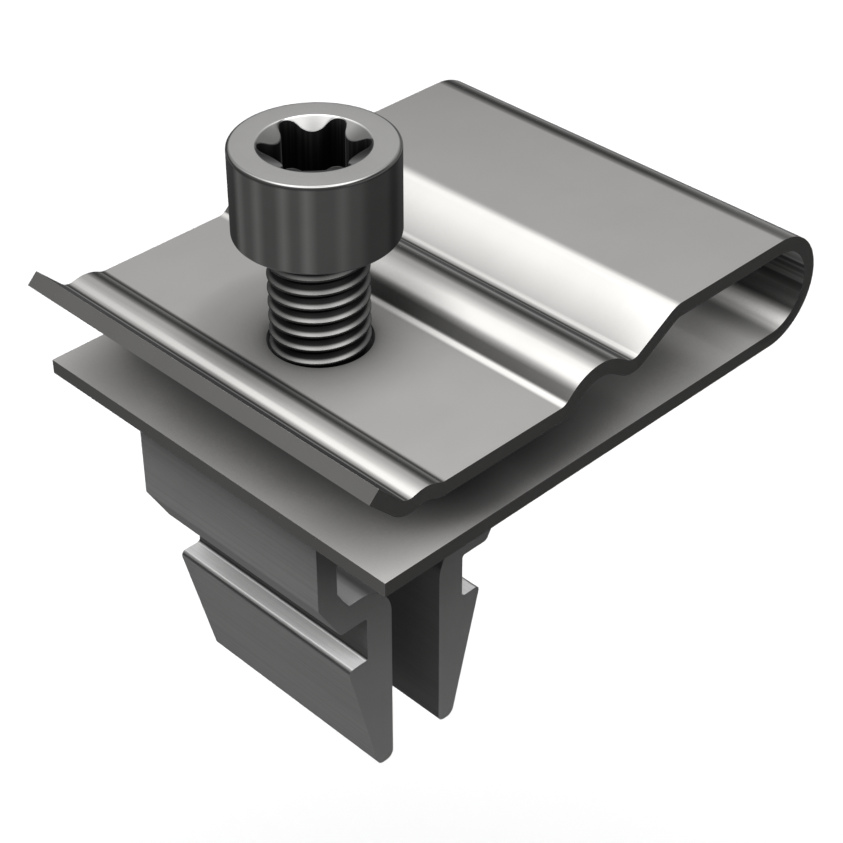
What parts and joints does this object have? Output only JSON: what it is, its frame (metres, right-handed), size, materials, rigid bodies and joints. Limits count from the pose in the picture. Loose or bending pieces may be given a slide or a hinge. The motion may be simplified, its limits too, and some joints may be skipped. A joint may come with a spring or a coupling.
{
  "type": "solar compensating clamp",
  "caption": "Folded spring-sheet bonding clamp for a round conductor, drawn by a six-lobe cap screw onto a sprung aluminium foot that clicks into a rail slot.",
  "frame": {"origin": "on the screw's axis, in the plane of the rail's top face, on which the foot's two shoulders sit", "axes": "+Z out of the rail along the screw, towards its head; +X from the screw towards the clip's fold; Y along the fold and along the foot's extrusion"},
  "size_m": [0.0511, 0.039, 0.0534],
  "materials": {
    "foot_aluminium": "matte mill-finish extrusion",
    "clip_steel": "smooth bright rolled stainless sheet",
    "screw_steel": "plain turned stainless"
  },
  "bodies": {
    "foot": {"click_foot": "foot_aluminium"},
    "clip": {"spring_clip": "clip_steel"},
    "screw": {"clamp_screw": "screw_steel"}
  },
  "joints": [
    {"name": "screw_travel", "type": "slide", "parent": "foot", "child": "screw", "axis": [0, 0, 1], "range_m": [-0.008, 0.0018]},
    {"name": "clip_swivel", "type": "hinge", "parent": "foot", "child": "clip", "pos_m": [0, 0, 0.012], "axis": [0, 0, 1], "continuous": true}
  ]
}
